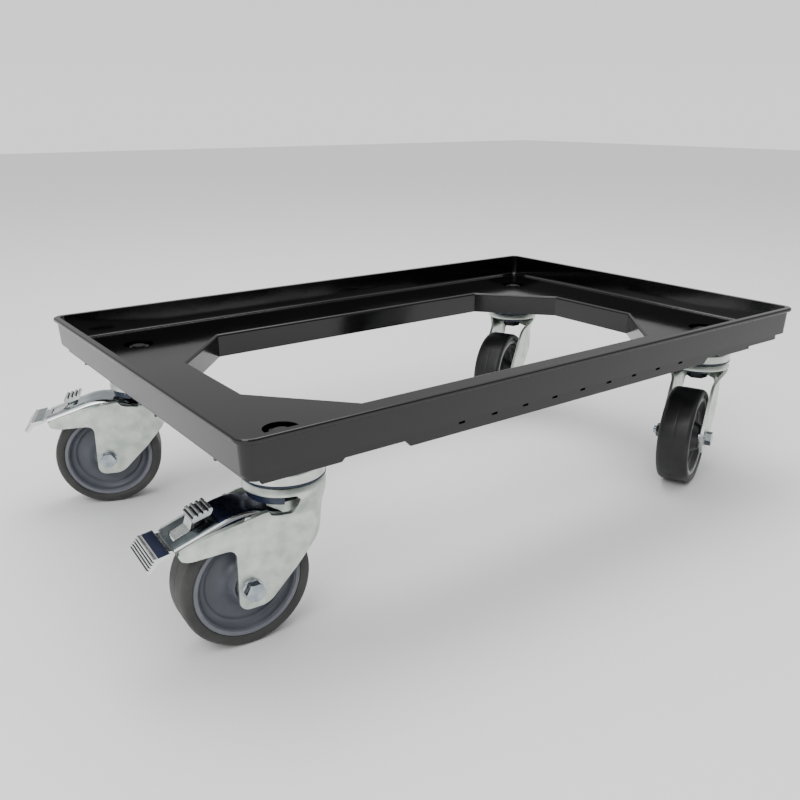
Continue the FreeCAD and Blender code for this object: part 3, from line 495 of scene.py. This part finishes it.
# %% [markdown]
# ## The fork: one sheet of pressed steel
# A caster's fork is pressed from one plate: a round crown, whose skirt runs down into two flat
# legs, and a closed back. A boxy union of a disc and two plates would show seams that the real
# one hasn't got. So the sheet is made flat first, as a developed pattern where X is the distance
# round the fork, then wrapped: at the crown's height it follows a circle, and further down it
# eases into a rounded channel. The crown is spun, the two are welded along their common edge,
# and a Solidify modifier gives the sheet its thickness.

# %% The way round the fork
SKIRT_MIDDLE = CROWN_RADIUS - SHEET / 2
LEG_MIDDLE = FORK_GAP / 2 + SHEET / 2
STEPS_ROUND = 96
QUARTER = math.pi / 2 * SKIRT_MIDDLE
STRIP = math.tau * SKIRT_MIDDLE / STEPS_ROUND
CHANNEL_BACK = 24
CHANNEL_ROUND = 15
FLAT_BEFORE_ROUND = CHANNEL_BACK - CHANNEL_ROUND
ARC = CHANNEL_ROUND * math.pi / 2
BACK_FLAT = LEG_MIDDLE - CHANNEL_ROUND
SQUEEZE = (FLAT_BEFORE_ROUND + ARC + BACK_FLAT) / QUARTER
WRAP_HEIGHT, WRAP_STEP = 20, 2
SKIRT_END = QUARTER + 8 * STRIP


def on_circle(distance):
    """Plan position on the crown's skirt, from the middle of its back."""
    angle = distance / SKIRT_MIDDLE
    return Vector((-SKIRT_MIDDLE * math.cos(angle), SKIRT_MIDDLE * math.sin(angle)))


def on_channel(distance):
    """Plan position on the rounded channel that the legs stand in."""
    if distance >= QUARTER:
        return Vector((distance - QUARTER, LEG_MIDDLE))
    back = (QUARTER - distance) * SQUEEZE
    if back < FLAT_BEFORE_ROUND:
        return Vector((-back, LEG_MIDDLE))
    if back < FLAT_BEFORE_ROUND + ARC:
        angle = (back - FLAT_BEFORE_ROUND) / CHANNEL_ROUND
        return Vector((-FLAT_BEFORE_ROUND - CHANNEL_ROUND * math.sin(angle),
                       LEG_MIDDLE - CHANNEL_ROUND * (1 - math.cos(angle))))
    return Vector((-CHANNEL_BACK, LEG_MIDDLE - CHANNEL_ROUND - (back - FLAT_BEFORE_ROUND - ARC)))


def round_the_fork(distance, height):
    """Wraps one point of the flat pattern."""
    share = min(max((CROWN_BOTTOM - height) / WRAP_HEIGHT, 0), 1)
    ease = share * share * (3 - 2 * share)
    plan = on_circle(min(distance, SKIRT_END)).lerp(on_channel(distance), ease)
    return Vector((plan.x, plan.y, height))


def along(x):
    """Distance round the fork of a point of the leg, from its place along the caster."""
    return QUARTER + (x if x > 0 else x / SQUEEZE)


print("once round the crown", round(4 * QUARTER, 1), "mm, squeezed by", round(SQUEEZE, 3), "in the channel")

# %% The leg's outline on the flat pattern
def leg_corners(braked):
    """Corners of one half of the sheet below the crown: distance round, height, corner setback."""
    crown_joint = QUARTER + 0.5 * STRIP
    corners = [
        (0, CROWN_BOTTOM), (0, CROWN_BOTTOM - 17), (along(-20.5), CROWN_BOTTOM - 20, 5),
        (along(-20.5), 85, 11), (along(26), 34.5, 6), (along(48.5), 34.5, 8),
    ]
    if braked:
        corners += [
            (along(48), 85, 7), (along(84), 84.5, 5), (along(89), 88.5, 2.6), (along(88), 93.4, 2.2),
            (along(60), 103.0, 6), (along(44), 108.4, 4.5), (along(32), 108.8, 4.5),
            (along(20), 103.4, 5), (along(4), 102, 3),
        ]
    else:
        corners += [(along(50), 56, 5), (along(21), 97, 9), (along(8), 108, 5)]
    return corners + [(crown_joint, CROWN_BOTTOM - 3), (crown_joint + 1.5 * STRIP, CROWN_BOTTOM)]


print(len(leg_corners(True)), "corners with a brake arm,", len(leg_corners(False)), "without")

# %% The legs, wrapped from the pattern
def add_legs(bm, braked):
    """Cuts the flat half pattern along the wrap's steps, wraps it and mirrors it."""
    rounded_face(bm, leg_corners(braked))
    bmesh.ops.triangulate(bm, faces=bm.faces)
    slice_at(bm, 0, [STRIP * step for step in range(1, STEPS_ROUND // 4 + 2)])
    slice_at(bm, 2, [CROWN_BOTTOM - drop for drop in range(WRAP_STEP, WRAP_HEIGHT + 1, WRAP_STEP)])
    for vertex in bm.verts:
        vertex.co = round_the_fork(vertex.co.x, vertex.co.z)
    half = bmesh.ops.duplicate(bm, geom=list(bm.verts) + list(bm.edges) + list(bm.faces))
    bmesh.ops.scale(bm, vec=(1, -1, 1), verts=points_of(half))


# %% The crown, spun from a half profile
SLEEVE_HOLE = 10.2


def add_crown(bm):
    """Flat top, pressed shoulder and skirt."""
    top = CROWN_TOP - SHEET / 2
    profile = ((SLEEVE_HOLE, top), (SKIRT_MIDDLE - 4, top), (SKIRT_MIDDLE - 1.2, top - 0.9),
               (SKIRT_MIDDLE, top - 3), (SKIRT_MIDDLE, CROWN_BOTTOM))
    points = [bm.verts.new((-radius, 0, height)) for radius, height in profile]
    edges = [bm.edges.new(pair) for pair in zip(points, points[1:])]
    bmesh.ops.spin(bm, geom=edges, cent=(0, 0, 0), axis=(0, 0, 1), angle=math.tau,
                   steps=STEPS_ROUND, use_merge=True)


# %% Forks
def make_fork(caster):
    """One sheet from crown to legs; Solidify gives it its thickness."""
    bm = bmesh.new()
    add_legs(bm, caster in BRAKED)
    add_crown(bm)
    fork = seat_piece(bm, "fork_pressing", caster, "fork", [fork_zinc], "fork")
    modify(fork, "SOLIDIFY", thickness=SHEET * MM, offset=0, use_even_offset=False)
    soft_edges(fork, 0.5)
    return fork


forks = [make_fork(caster) for caster in CASTERS]
print("fork", len(forks[0].data.vertices), "points before its thickness")

# %% [markdown]
# ## A dark sheet for the shade behind the pedal
# Under the front of a braked caster's crown hangs a low dark curved sheet: painted shade, standing
# in for the shade inside the fork between the swivel and the pedal. Its section is a small rectangle,
# so the rectangle is drawn once, turned to where the sheet starts and spun part of the way round.
# A spin that starts from a face, and not from its edges, keeps both end faces, so the sheet is closed.

# %% Painted shade sheets
WALL_REACH = 66
WALL_INSIDE, WALL_OUTSIDE = 26.2, 27.8
WALL_LOW, WALL_HIGH = CROWN_BOTTOM - 7, CROWN_BOTTOM + 1


def make_painted_shade_sheet(caster):
    """A curved dark sheet of painted shade that reaches as far to each side of the pedal's middle."""
    bm = bmesh.new()
    rounded_face(bm, [(WALL_INSIDE, WALL_LOW), (WALL_OUTSIDE, WALL_LOW), (WALL_OUTSIDE, WALL_HIGH),
                      (WALL_INSIDE, WALL_HIGH)], "YZ")
    turn_points(bm, bm.verts, -90 - WALL_REACH, "Z")
    bmesh.ops.spin(bm, geom=list(bm.faces), cent=(0, 0, 0), axis=(0, 0, 1),
                   angle=math.radians(2 * WALL_REACH), steps=40)
    painted_shade_sheet = seat_piece(bm, "painted_shade_sheet", caster, "fork", [navy_cup])
    soft_edges(painted_shade_sheet, 0.3)
    return painted_shade_sheet


painted_shade_sheets = [make_painted_shade_sheet(caster) for caster in BRAKED]
print("painted shade sheet", len(painted_shade_sheets[0].data.polygons), "faces")

# %% [markdown]
# ## Tyres and wheel cores
# A wheel is two mouldings of revolution: a soft tyre on a hard dished core. Both come from a
# rounded outline, spun round the axle. The outlines follow the real section: a flat tread with
# generous shoulders, a bead where the tyre grips the core, a lighter lip at the core's rim and a
# thin web that dips between the rim and the hub. The tyre has the fine parting line that every
# moulded tyre shows round its middle.

# %% Tyres
TYRE_HALF, TYRE_THICKNESS = 16, 8.5
CORE_RADIUS = WHEEL_RADIUS - TYRE_THICKNESS
PARTING_LINE = (0, WHEEL_RADIUS - 0.25)


def make_tyre(caster):
    """Flat tread, round shoulders, straight sides, and a fine groove round the middle."""
    bm = bmesh.new()
    half = [(TYRE_HALF - 1.2, CORE_RADIUS, 0.5), (TYRE_HALF, WHEEL_RADIUS - 6.4, 1.2),
            (TYRE_HALF, WHEEL_RADIUS - 2.4, 1.4), (TYRE_HALF - 2.8, WHEEL_RADIUS - 0.1, 2.2),
            (0.7, WHEEL_RADIUS, 0.3)]
    spun(bm, both_sides(half, [PARTING_LINE]), AXLE)
    rubber, slot = (grey_rubber, "grey_tyre") if caster in BRAKED else (black_rubber, "black_tyre")
    tyre = seat_piece(bm, "tyre_moulding", caster, "wheel", [rubber], "tyre")
    soft_edges(tyre, 0.15, 1, 50)
    return tyre


tyres = [make_tyre(caster) for caster in CASTERS]
print("tyre", len(tyres[0].data.polygons), "faces")

# %% Wheel cores
HUB_SIDE = [(10.5, 8), (10.5, 11), (17.5, 11, 0.4), (17.5, 12.6, 0.8)]
WEB_SIDE = [(8.4, 17.5, 4), (5.2, 26, 5), (6.6, 30.6, 1.2), (8.0, 31.4, 0.6), (9.2, 35.6, 2.4)]
RIM_SIDE = [(13.6, 37.2, 0.8), (13.6, CORE_RADIUS)]
LIP = [(13.0, 37.8, 0.3), (14.7, 38.1, 0.5), (14.7, 41.3, 0.5), (13.0, CORE_RADIUS)]


def make_core(caster):
    """Hub, thin stepped web and rim in one turned outline."""
    bm = bmesh.new()
    spun(bm, both_sides(HUB_SIDE + WEB_SIDE + RIM_SIDE), AXLE)
    plastic, slot = (core_grey, "grey_core") if caster in BRAKED else (core_black, "black_core")
    core = seat_piece(bm, "core_moulding", caster, "wheel", [plastic], "wheel_core")
    soft_edges(core, 0.2, 1, 50)
    return core


def make_lips(caster):
    """The lighter rings on both faces of the core's rim."""
    bm = bmesh.new()
    for way in (1, -1):
        ring = bmesh.new()
        spun(ring, [(across * way, *rest) for across, *rest in LIP], AXLE)
        merge_into(bm, ring)
    plastic, slot = (core_lip, "grey_core") if caster in BRAKED else (core_black_lip, "black_core")
    lips = seat_piece(bm, "core_lips", caster, "wheel", [plastic])
    soft_edges(lips, 0.2, 1, 50)
    return lips


cores = [make_core(caster) for caster in CASTERS]
lips = [make_lips(caster) for caster in CASTERS]
print("core", len(cores[0].data.polygons), "faces, lips", len(lips[0].data.polygons))

# %% [markdown]
# ## Axle bolts and nuts
# The bolts are hexagon heads with a pressed flange. A bare prism looks like a toy: the real head
# has its six corners turned off, so a hexagon is extruded, its outer corners are bevelled away,
# and the flange is a thin spun washer beneath. The six flats take a darker finish than the top:
# a painted reflection of the dark parts round them.

# %% A hexagon and its flange
ACROSS_FLATS = 13
CORNER_CUT = 1.1
FLANGE_RADIUS, FLANGE_STEP = 8.1, 0.6


def add_hexagon(bm, height):
    """A hexagon on the flange, whose flats are of the second material, a painted dark reflection."""
    made = bmesh.ops.create_circle(bm, cap_ends=True, segments=6, radius=ACROSS_FLATS / math.sqrt(3))
    turn_points(bm, made["verts"], -90, "X")
    grown = bmesh.ops.extrude_face_region(bm, geom=list(bm.faces), use_keep_orig=True)
    top = points_of(grown)
    bmesh.ops.translate(bm, verts=top, vec=(0, height, 0))
    bmesh.ops.bevel(bm, geom=top, offset=CORNER_CUT, offset_type="OFFSET", affect="VERTICES",
                    segments=1, profile=0.5, material=-1)
    turn_points(bm, bm.verts, 30, "Y")
    bmesh.ops.translate(bm, verts=bm.verts, vec=(0, HALF_OUT + FLANGE_STEP, 0))
    bm.normal_update()
    for face in bm.faces:
        face.material_index = 1 if abs(face.normal.y) < 0.3 else 0


def add_flange(bm):
    """The pressed flange under a head or a nut."""
    flange = bmesh.new()
    spun(flange, [(HALF_OUT, 0), (HALF_OUT, FLANGE_RADIUS, 0.2),
                  (HALF_OUT + FLANGE_STEP, FLANGE_RADIUS, 0.2), (HALF_OUT + 1.1, 6.4, 0.2),
                  (HALF_OUT + 1.1, 0)], Vector((0, 0, 0)), 48)
    merge_into(bm, flange)


# %% Bolts and nuts
HEAD_HEIGHT, NUT_HEIGHT = 6.4, 4.2
SHANK_RADIUS, SHANK_PAST = 4, 8


def add_shank(bm):
    """The bolt's shank, which passes both legs and comes out through the nut."""
    shank = bmesh.ops.create_cone(bm, cap_ends=True, segments=32, radius1=SHANK_RADIUS,
                                  radius2=SHANK_RADIUS, depth=HALF_OUT * 2 + SHANK_PAST)
    turn_points(bm, shank["verts"], 90, "X")
    bmesh.ops.translate(bm, verts=shank["verts"], vec=(0, -SHANK_PAST / 2, 0))


def seat_fastener(bm, name, caster, node):
    """Moves a head or a nut to the axle and finishes it."""
    bmesh.ops.translate(bm, verts=bm.verts, vec=AXLE)
    piece = seat_piece(bm, name, caster, "fork", [bolt_zinc, bolt_flats_painted_reflection], node)
    soft_edges(piece, 0.25)
    return piece


def make_axle_bolt(caster):
    """Head, flange and shank on the bolt's side."""
    bm = bmesh.new()
    add_hexagon(bm, HEAD_HEIGHT)
    add_flange(bm)
    add_shank(bm)
    return seat_fastener(bm, "axle_bolt_head", caster, "axle_bolt")


def make_axle_nut(caster):
    """The same shape without a shank, lower, and mirrored to the other side."""
    bm = bmesh.new()
    add_hexagon(bm, NUT_HEIGHT)
    add_flange(bm)
    bmesh.ops.scale(bm, vec=(1, -1, 1), verts=bm.verts)
    return seat_fastener(bm, "axle_nut_hex", caster, "axle_nut")


axle_bolts = [make_axle_bolt(caster) for caster in CASTERS]
axle_nuts = [make_axle_nut(caster) for caster in CASTERS]
print("axle bolt", len(axle_bolts[0].data.polygons), "faces, nut", len(axle_nuts[0].data.polygons))

# %% [markdown]
# ## The brake pedal
# The pedal is a pressed channel in bright plating: a crowned top that rolls down into two side
# cheeks, cut round at its inner end to clear the swivel, with a window near its toe. It is drawn
# as a flat strip, the window is cut while it is still flat, and then every point is lifted on to
# the pressed shape. Sheet thickness and fine edge bevels come last, as modifiers.

# %% The pedal's sizes
PEDAL_SHEET = 1.8
NOTCH_RADIUS, NOTCH_FADE = 19.8, 22
PEDAL_START, PEDAL_END, PEDAL_STEP = NOTCH_RADIUS, 90, 2
PEDAL_TOP = ((10, 102.7), (18, 105), (34, 109.9), (47, 109.3), (60, 104.9), (90, 95))
FOLD, FOLD_STEPS = 3.2, 6
FOLD_ARC = FOLD * math.pi / 2
PEDAL_FLAT = FORK_GAP / 2 - 0.3 - PEDAL_SHEET / 2 - FOLD
CHEEK = 7
TOE_CORNER = 2
# Past this point the near pedal's toe end takes a painted reflection, and the band across the fold takes a
# painted highlight.
REFLECTION_START, HIGHLIGHT_BAND = 58, (0.34, 0.84)
WINDOW_START, WINDOW_END, WINDOW_HALF = 62, 87, 7.5
PEDAL_FINISH = {"rear_right": pedal_blue, "rear_left": pedal_pale}
TOE_REFLECTION_FINISH = {"rear_right": pedal_toe_painted_reflection, "rear_left": pedal_pale}
print("flat strip", round(2 * (PEDAL_FLAT + FOLD_ARC + CHEEK), 1), "mm wide")


# %% From the flat strip to the pressed shape
def top_line(x):
    """Height of the pedal's outer top surface along the caster."""
    spans = list(zip(PEDAL_TOP, PEDAL_TOP[1:]))
    (x0, z0), (x1, z1) = next((span for span in spans if x <= span[1][0]), spans[-1])
    return z0 + (z1 - z0) * (x - x0) / (x1 - x0)


def smooth_top(x):
    """The top line with its corners eased over a few millimetres."""
    return sum(top_line(x + shift) for shift in range(-6, 7, 2)) / 7


def roll(reach):
    """Where a distance from the strip's middle ends up: sideways, and below the top."""
    if reach <= PEDAL_FLAT:
        return reach, 0.0
    if reach <= PEDAL_FLAT + FOLD_ARC:
        angle = (reach - PEDAL_FLAT) / FOLD
        return PEDAL_FLAT + FOLD * math.sin(angle), FOLD * (1 - math.cos(angle))
    return PEDAL_FLAT + FOLD, FOLD + (reach - PEDAL_FLAT - FOLD_ARC)


def press_pedal(x, across):
    """Lifts a point of the flat strip, and draws the inner end out to the round notch."""
    sideways, drop = roll(abs(across))
    notch = math.sqrt(max(NOTCH_RADIUS ** 2 - sideways ** 2, 0))
    fade = max(0.0, 1 - (x - PEDAL_START) / NOTCH_FADE)
    x = x + (notch - PEDAL_START) * fade * fade
    return Vector((x, math.copysign(sideways, across), smooth_top(x) - PEDAL_SHEET / 2 - drop))


print("crest", round(max(smooth_top(x) for x in range(20, 90)), 1), "mm high")


# %% The flat strip and its window
def add_strip(bm):
    """The blank of the pedal, cut into steps along it and across its folds."""
    toe, heel = PEDAL_FLAT + FOLD_ARC, PEDAL_FLAT + FOLD_ARC + CHEEK
    rounded_face(bm, [(PEDAL_START, -heel, 2), (PEDAL_END - 8, -heel, 6), (PEDAL_END, -toe, TOE_CORNER),
                      (PEDAL_END, toe, TOE_CORNER), (PEDAL_END - 8, heel, 6), (PEDAL_START, heel, 2)], "XY")
    bmesh.ops.triangulate(bm, faces=bm.faces)
    steps = math.ceil((PEDAL_END - PEDAL_START) / PEDAL_STEP)
    slice_at(bm, 0, [WINDOW_START, WINDOW_END]
             + [PEDAL_START + PEDAL_STEP * step for step in range(1, steps + 1)])
    folds = [PEDAL_FLAT + FOLD_ARC * step / FOLD_STEPS for step in range(FOLD_STEPS + 1)]
    slice_at(bm, 1, [way * place for way in (-1, 1) for place in [WINDOW_HALF, 0.001, 3, 5] + folds])


def cut_window(bm):
    """Opens the window near the toe."""
    inside = [face for face in bm.faces
              if WINDOW_START < face.calc_center_median().x < WINDOW_END
              and abs(face.calc_center_median().y) < WINDOW_HALF]
    bmesh.ops.delete(bm, geom=inside, context="FACES")


def shade_strip(bm):
    """Second material, a painted highlight, along the fold; third, a painted reflection, towards the toe.
    """
    for face in bm.faces:
        middle = face.calc_center_median()
        into_fold = (abs(middle.y) - PEDAL_FLAT) / FOLD_ARC
        if HIGHLIGHT_BAND[0] < into_fold < HIGHLIGHT_BAND[1]:
            face.material_index = 1
        elif middle.x > REFLECTION_START:
            face.material_index = 2


# %% Pedals
def make_pedal(caster):
    """Strip, window and shades first, then the press, then sheet thickness and soft edges."""
    bm = bmesh.new()
    add_strip(bm)
    cut_window(bm)
    shade_strip(bm)
    for vertex in bm.verts:
        vertex.co = press_pedal(vertex.co.x, vertex.co.y)
    finishes = [PEDAL_FINISH[caster], edge_painted_highlight, TOE_REFLECTION_FINISH[caster]]
    pedal = seat_piece(bm, "pedal_pressing", caster, "pedal", finishes, "pedal")
    # The sheet's rim and the bevels take the painted highlight finish.
    modify(pedal, "SOLIDIFY", thickness=PEDAL_SHEET * MM, offset=0, use_even_offset=False,
           material_offset_rim=1)
    soft_edges(pedal, 0.5, 2, 40)
    pedal.modifiers[-1].material = 1
    return pedal


pedals = [make_pedal(caster) for caster in BRAKED]
print("pedal", len(pedals[0].data.vertices), "points before its thickness")

# %% [markdown]
# ## Toe tread and release tab
# Both are worked by a shoe, so both carry rows of ribs across their width. Ribs are drawn in
# side view as a row of small rounded teeth, and the outline is extruded across the caster.

# %% Ribbed edges
TOOTH = ((0.08, 1), (0.66, 1), (0.76, 0), (0.98, 0))
CREST_ROUND, ROOT_ROUND = 0.3, 0.12


def toothed(start, end, teeth, depth):
    """Corners of a ribbed edge from start to end; the teeth stand out to its left."""
    run = Vector(end) - Vector(start)
    out = Vector((-run.y, run.x)).normalized() * depth
    corners = []
    for tooth in range(teeth):
        for part, level in TOOTH:
            point = Vector(start) + run * ((tooth + part) / teeth) + out * level
            corners.append((point.x, point.y, CREST_ROUND if level else ROOT_ROUND))
    return corners[:-1]


def paint_groove_shade(bm, start, end, depth):
    """Gives the floors between the teeth the second material, a painted shade."""
    bm.normal_update()
    length = (Vector(end) - Vector(start)).length
    run = (Vector(end) - Vector(start)).normalized()
    out = Vector((-run.y, run.x))
    for face in bm.faces:
        middle = face.calc_center_median()
        offset = Vector((middle.x, middle.z)) - Vector(start)
        is_low = -0.1 * depth < offset.dot(out) < 0.45 * depth
        if 0 < offset.dot(run) < length and is_low and abs(face.normal.y) < 0.5:
            face.material_index = 1


print(len(toothed((0, 0), (1, 0), 5, 1)), "corners in an edge of five teeth")

# %% Toe tread
TREAD_TOP, TREAD_LOW, TREAD_DEPTH = (103.6, 92.0), (110.2, 83.8), 1.5
TREAD_HALF, NECK_HALF = 20, 15.5
PLATE_END, PLATE_AREA = 102.7, 100
NECK = [(89.4, 93.2, 0.4), (96.5, 93.6, 0.3), (96.5, 91.4, 0.3), (89.4, 91.4, 0.4)]


def make_tread(caster):
    """Wide flat plate with a ribbed front, on a narrower neck that joins it to the pedal."""
    bm = bmesh.new()
    plate = [(93.5, 94.3, 0.6), (102.6, 92.7, 0.8)]
    underside = [(109.4, 82.7, 0.6), (107.6, 82.8, 0.6), (102.3, 88.8, 1.2), (93.5, 91.1, 0.6)]
    rounded_face(bm, plate + toothed(TREAD_TOP, TREAD_LOW, 5, TREAD_DEPTH) + underside)
    thicken(bm, TREAD_HALF)
    paint_groove_shade(bm, TREAD_TOP, TREAD_LOW, TREAD_DEPTH)
    for face in bm.faces:
        is_plate = face.calc_center_median().x < PLATE_END and face.calc_area() > PLATE_AREA
        if is_plate and abs(face.normal.z) > 0.9:
            face.material_index = 2
    neck = bmesh.new()
    rounded_face(neck, NECK)
    thicken(neck, NECK_HALF)
    merge_into(bm, neck)
    # The ribs and edges of the tread take the painted highlight finish.
    finishes = [edge_painted_highlight, groove_painted_shade, PEDAL_FINISH[caster]]
    tread = seat_piece(bm, "toe_tread", caster, "pedal", finishes, "pedal_tread")
    soft_edges(tread, 0.25, 2, 30)
    return tread


treads = [make_tread(caster) for caster in BRAKED]
print("tread", len(treads[0].data.polygons), "faces")

# %% Release tab
PAD_START, PAD_END, PAD_DEPTH = (58.5, 113.6), (73.5, 109.6), 1.6
PAD_HALF, TONGUE_HALF = 9.5, 6.8
TONGUE = [(70, 108), (73, 107.5, 1), (75, 100.2, 1.5), (85.5, 96.4, 0.8), (85.5, 93.2, 0.8),
          (72.9, 98.2, 1.5)]


def make_tab(caster):
    """Ribbed pad on a tongue that comes up through the pedal's window."""
    bm = bmesh.new()
    underside = [(74.1, 109.4, 0.5), (73.1, 106.2, 0.8), (60, 109.6, 0.8)]
    rounded_face(bm, [(58.1, 113.4, 0.5)] + toothed(PAD_START, PAD_END, 4, PAD_DEPTH) + underside)
    thicken(bm, PAD_HALF)
    paint_groove_shade(bm, PAD_START, PAD_END, PAD_DEPTH)
    tongue = bmesh.new()
    rounded_face(tongue, TONGUE)
    thicken(tongue, TONGUE_HALF)
    merge_into(bm, tongue)
    tab = seat_piece(bm, "release_tab_ribbed", caster, "release", [tread_zinc, groove_painted_shade],
                     "release_tab")
    soft_edges(tab, 0.3, 2, 30)
    return tab


tabs = [make_tab(caster) for caster in BRAKED]
print("release tab", len(tabs[0].data.polygons), "faces")

# %% [markdown]
# ## The cross pin
# The pedal hinges on a pin that is riveted over at both ends, where a tool has left a round
# groove. It is one turned shape: the groove is part of the outline, so it shows as a thin ring
# of shade on the leg.

# %% Cross pins
PIN_PLACE = Vector((TRAIL, 0, WHEEL_RADIUS * 2 + 4))
PIN_RADIUS = 2.45
PIN_END = HALF_OUT + 0.6
GROOVE_FLOOR = HALF_OUT + 0.1
RIVET = [(PIN_END, 0), (PIN_END, 1.0, 0.2), (GROOVE_FLOOR, 1.4), (GROOVE_FLOOR, 2.0), (PIN_END, 2.3, 0.2),
         (PIN_END, 3.2, 0.3), (HALF_OUT + 0.05, 3.4, 0.1), (HALF_OUT + 0.05, PIN_RADIUS)]


def make_pin(caster):
    """One turned pin, riveted over at both ends."""
    bm = bmesh.new()
    spun(bm, both_sides(RIVET), PIN_PLACE, 32)
    return seat_piece(bm, "cross_pin", caster, "fork", [fork_zinc], "pedal_pin")


pins = [make_pin(caster) for caster in BRAKED]
print("pin", len(pins[0].data.polygons), "faces")
